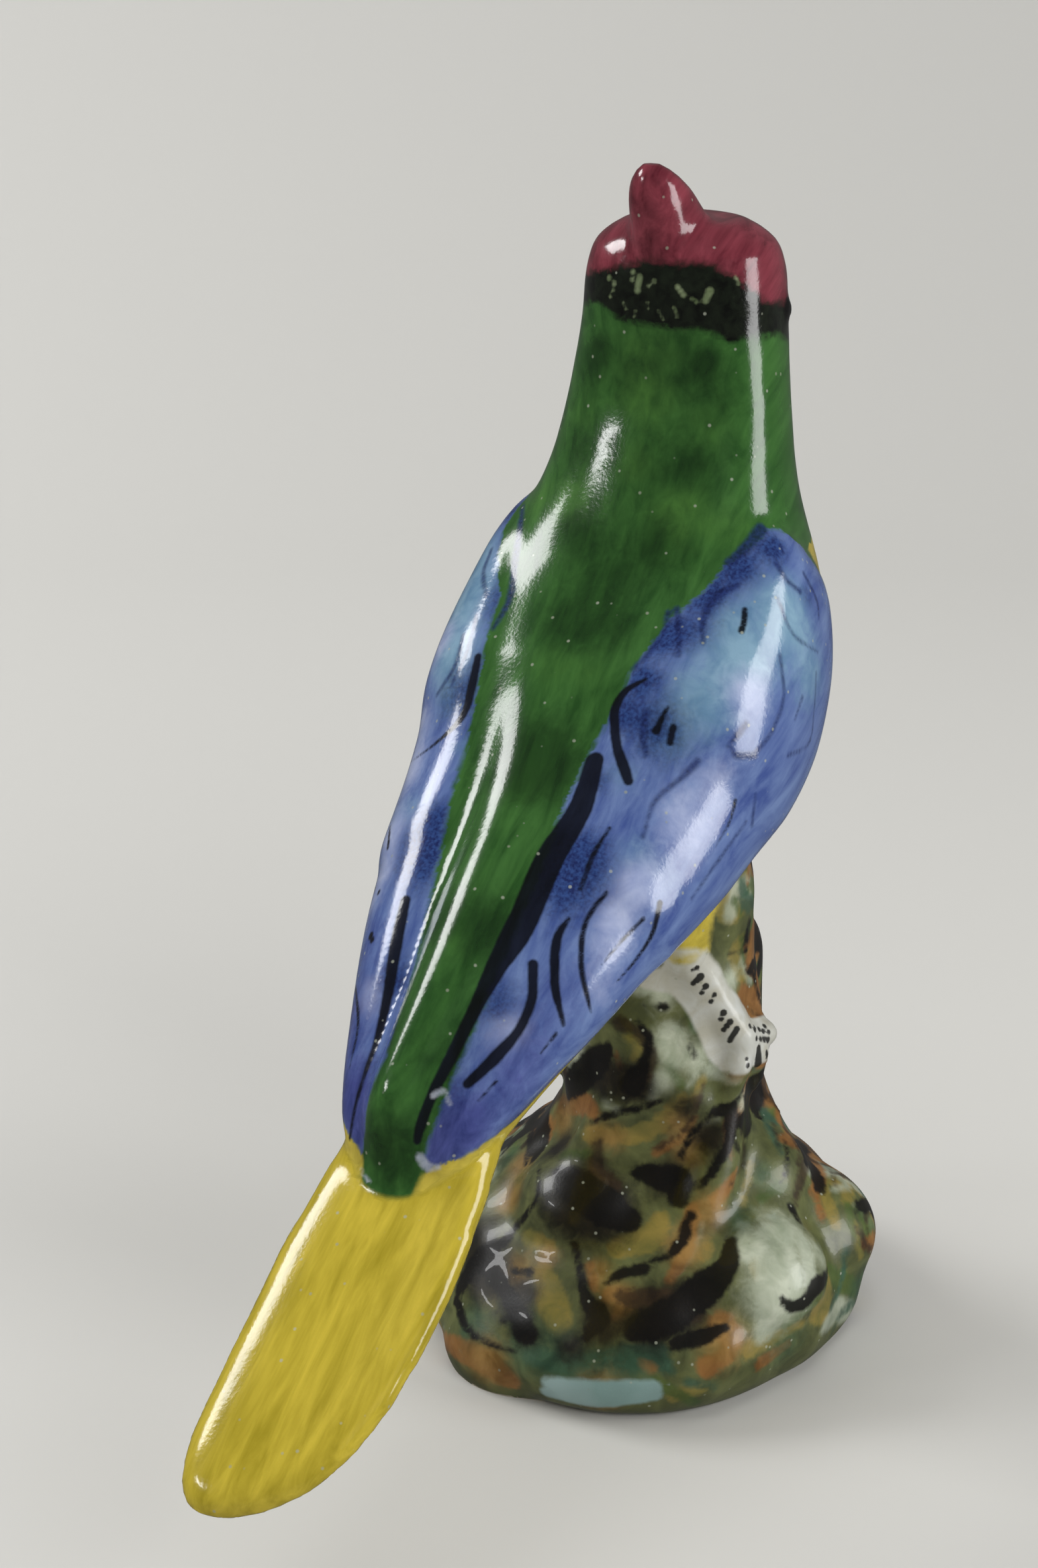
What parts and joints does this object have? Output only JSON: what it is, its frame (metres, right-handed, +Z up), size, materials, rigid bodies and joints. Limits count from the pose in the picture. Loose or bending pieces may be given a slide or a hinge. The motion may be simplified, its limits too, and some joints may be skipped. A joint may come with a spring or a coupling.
{
  "type": "porcelain songbird figurine",
  "caption": "Glazed, hand-painted slip-cast figurine of a crested songbird perched on a rocky stump, hollow, with a flat foot.",
  "frame": {"origin": "middle of the flat foot, on the surface it stands on", "axes": "+Z up, -Y the way the bird faces, -X its right wing"},
  "size_m": [0.0485, 0.1056, 0.1252],
  "materials": {
    "glazed_porcelain": "glossy clear glaze over hand-painted underglaze colours"
  },
  "bodies": {
    "root": {"songbird_figurine": "glazed_porcelain"}
  },
  "joints": []
}
